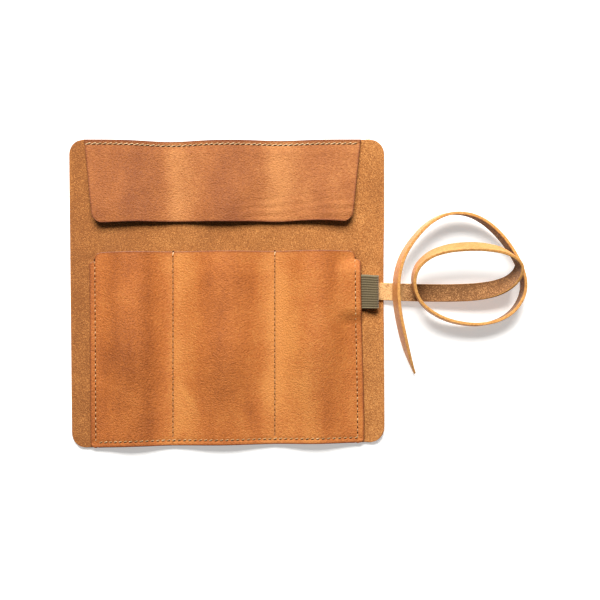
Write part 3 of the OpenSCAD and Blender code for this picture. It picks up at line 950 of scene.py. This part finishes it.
# x, y, z in millimetres and the lean in degrees: 0 lies flat, rough side up, -90 stands on edge
STRAP_ROUTE = [
    (76.4, 0.4, 2.45, 0), (86, 0.4, 2.36, 0), (94, 0.3, 2.65, 0), (101, 0, 3.2, 0),
    (110, -0.3, 4, 0), (124, -0.6, 5, -4), (138, -0.5, 6.2, -9), (150, 0.2, 7.4, -18),
    (160.6, 2.2, 8.8, -32), (168.4, 5.8, 10.6, -50), (172.8, 10.8, 13, -68), (173.4, 16, 15.4, -84),
    (169.8, 20.8, 17.2, -98), (162.4, 24.3, 18.4, -107), (152.2, 26.2, 19, -113), (141.1, 26.4, 19, -115),
    (130.4, 25.1, 18.2, -112), (120.9, 21.7, 17, -106), (114.3, 15.9, 15.4, -99), (111.6, 8.9, 13.6, -93),
    (112.3, 1.8, 12, -89), (115.5, -5.2, 10.6, -88), (121.6, -11.2, 9.2, -91), (130, -15.8, 7.8, -93),
    (140, -18.6, 6.6, -94), (151, -19.4, 5.8, -94), (162, -17.2, 5.5, -92), (171, -11.8, 5.5, -90),
    (176.6, -3.6, 5.5, -88), (178.2, 5, 5.5, -87), (176, 14.4, 5.7, -86), (170.6, 24.6, 6.2, -85),
    (163.2, 34, 7, -84), (154, 41.8, 8, -86), (143.6, 46.2, 9, -91), (132.1, 46.2, 9.8, -94),
    (121.4, 41.2, 10.4, -96), (112.3, 32.2, 10.7, -98), (105.4, 21.4, 10.7, -100), (102.1, 10, 10.4, -102),
    (101.6, -1, 9.9, -102), (102.7, -12, 9, -102), (105, -23, 7.6, -102), (107.9, -34, 5.8, -102),
    (111, -43, 3.8, -100), (113.4, -49, 1.9, -97),
]
RINGS_PER_STEP = 6


def strap_at(s):
    last = len(STRAP_ROUTE) - 1
    points = [Vector(p) for p in STRAP_ROUTE]
    i = min(last - 1, int(s))
    t = s - i
    p1, p2 = points[i], points[i + 1]
    p0 = points[i - 1] if i > 0 else p1 * 2 - p2
    p3 = points[i + 2] if i < last - 1 else p2 * 2 - p1
    return 0.5 * (2 * p1 + (p2 - p0) * t + (2 * p0 - 5 * p1 + 4 * p2 - p3) * t * t
                  + (3 * p1 - p0 - 3 * p2 + p3) * t ** 3)


def strap_section():
    """Points going round the strip, as shares of its half width and half thickness."""
    e, n = 0.32, 0.05
    upper = [(-1 + n, 1), (-0.6, 1.0), (0, 1.0), (0.6, 1.0), (1 - n, 1)]
    lower = [(1 - n, -1), (0.6, -1.0), (0, -1.0), (-0.6, -1.0), (-1 + n, -1)]
    right = [(1, 1 - e), (1, -1 + e)]
    left = [(-1, -1 + e), (-1, 1 - e)]
    return upper + right + lower + left


def strap_painted_light_and_tone(along, across):
    """Painted light: paler near the roll, where the strap lies lit, and darker further along, where it
    lies in shade; with a little random tone.
    """
    return 0.05 + 0.75 * smooth((42 - along) / 18) + 0.15 * ripple(along, across, 12, 4)


def make_strap():
    last = len(STRAP_ROUTE) - 1
    count = last * RINGS_PER_STEP
    section = strap_section()
    vertices, places, path, along = [], [], [], 0.0
    before = None
    for k in range(count + 1):
        s = k / RINGS_PER_STEP
        at = strap_at(s)
        ahead, behind = strap_at(min(last, s + 0.05)), strap_at(max(0, s - 0.05))
        centre = Vector(at[:3])
        forward = (Vector(ahead[:3]) - Vector(behind[:3])).normalized()
        level = Vector((-forward.y, forward.x, 0)).normalized()
        rise = forward.cross(level)
        lean = math.radians(at[3])
        across = math.cos(lean) * level + math.sin(lean) * rise
        face = forward.cross(across)
        along += (centre - before).length if before is not None else 0
        before = centre
        narrow = 1 - 0.8 * smooth((s / last - 0.93) / 0.07)
        if k == count:
            narrow *= 0.55
        thick = STRAP_T * (0.58 + 0.42 * smooth((s - 1) / 2))
        thick *= 1 - 0.35 * smooth((s / last - 0.95) / 0.05)
        for q, r in section:
            spot = centre + across * (q * STRAP_WIDTH / 2 * narrow) + face * (r * thick / 2)
            vertices.append(spot * MM)
            places.append((along * MM, q * STRAP_WIDTH / 2 * MM, r * MM))
        path.append(centre * MM)
    sides = len(section)
    faces = []
    for k in range(count):
        for i in range(sides):
            this, following = k * sides, (k + 1) * sides
            beside = (i + 1) % sides
            faces.append([this + i, this + beside, following + beside, following + i])
    faces.append(list(range(sides - 1, -1, -1)))
    faces.append([count * sides + i for i in range(sides)])
    mesh = bpy.data.meshes.new("wrap_strap_leather")
    mesh.from_pydata(vertices, [], faces)
    strap = bpy.data.objects.new("wrap_strap_leather", mesh)
    bpy.context.collection.objects.link(strap)
    for finish in (STRAP_FLESH, STRAP_GRAIN, STRAP_EDGE):
        mesh.materials.append(finish)
    for n, face in enumerate(mesh.polygons):
        i = n % sides if n < count * sides else 5
        face.material_index = 0 if i < 4 else 1 if 7 <= i <= 10 else 2
    mesh.attributes.new("hide_place", "FLOAT_VECTOR", "POINT").data.foreach_set(
        "vector", [c for p in places for c in p])
    # On the strap this attribute carries painted light: lighter near the roll, darker further along.
    mesh.attributes.new("pull_up_and_painted_light", "FLOAT", "POINT").data.foreach_set(
        "value", [strap_painted_light_and_tone(p[0] / MM, p[1] / MM) for p in places])
    select_only(strap)
    bpy.ops.object.mode_set(mode="EDIT")
    bpy.ops.mesh.select_all(action="SELECT")
    bpy.ops.mesh.normals_make_consistent(inside=False)
    bpy.ops.object.mode_set(mode="OBJECT")
    bpy.ops.object.shade_smooth_by_angle(angle=math.radians(40))
    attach(strap, "right_section")
    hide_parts("wrap_strap")


# ------------------------------------------------------------------ floor, camera and light
FLOOR_BELOW = 0.4  # how far under the table's height the floor lies, clear of the lowest threads
CAMERA_HEIGHT = 600.0
SEEN_WIDTH = 362.4  # how much of the floor the view takes in across


def make_floor():
    deselect()
    bpy.ops.mesh.primitive_plane_add(size=30, location=(0, 0, -FLOOR_BELOW * MM))
    floor = bpy.context.object
    floor.name = floor.data.name = "floor"
    finish, _, shader = new_finish("light table", 0.9, 0.1)
    shader.inputs["Base Color"].default_value = (0.78, 0.78, 0.775, 1)
    shader.inputs["Emission Color"].default_value = (1, 1, 0.985, 1)
    shader.inputs["Emission Strength"].default_value = 0.40
    floor.data.materials.append(finish)


def make_camera():
    camera_data = bpy.data.cameras.new("camera")
    camera_data.sensor_width = 36
    camera_data.lens = camera_data.sensor_width * CAMERA_HEIGHT / SEEN_WIDTH
    camera_data.clip_end = 10
    camera = bpy.data.objects.new("camera", camera_data)
    camera.location = (0.0443, -0.0048, CAMERA_HEIGHT * MM)
    bpy.context.collection.objects.link(camera)
    bpy.context.scene.camera = camera


def make_window():
    """One wide soft light beyond the roll's top edge."""
    place, aim = Vector((-0.06, 1.15, 1.12)), Vector((0.04, 0, 0))
    window_data = bpy.data.lights.new("window", "AREA")
    window_data.shape = "RECTANGLE"
    window_data.size, window_data.size_y = 1.1, 0.85
    window_data.energy = 72
    window_data.color = (1.0, 0.985, 0.96)
    window = bpy.data.objects.new("window", window_data)
    window.location = place
    window.rotation_euler = (aim - place).to_track_quat("-Z", "Y").to_euler()
    bpy.context.collection.objects.link(window)


def make_room():
    """A pale wall all round, up to a dim ceiling."""
    world = bpy.data.worlds.new("studio")
    world.use_nodes = True
    tree = world.node_tree
    upwards = node(tree, "ShaderNodeSeparateXYZ")
    direction = node(tree, "ShaderNodeTexCoord").outputs["Generated"]
    tree.links.new(direction, upwards.inputs[0])
    wall, ceiling = (0.22, (0.52, 0.52, 0.51)), (0.42, (0.08, 0.082, 0.084))
    colour = ramp(tree, upwards.outputs["Z"], wall, ceiling)
    tree.links.new(colour, tree.nodes["Background"].inputs["Color"])
    bpy.context.scene.world = world
    bpy.context.scene.view_settings.view_transform = "Standard"


make_floor()
make_camera()
make_window()
make_room()
make_strap()
make_cover()
make_pockets()
make_flap()
make_seams()
make_loop()
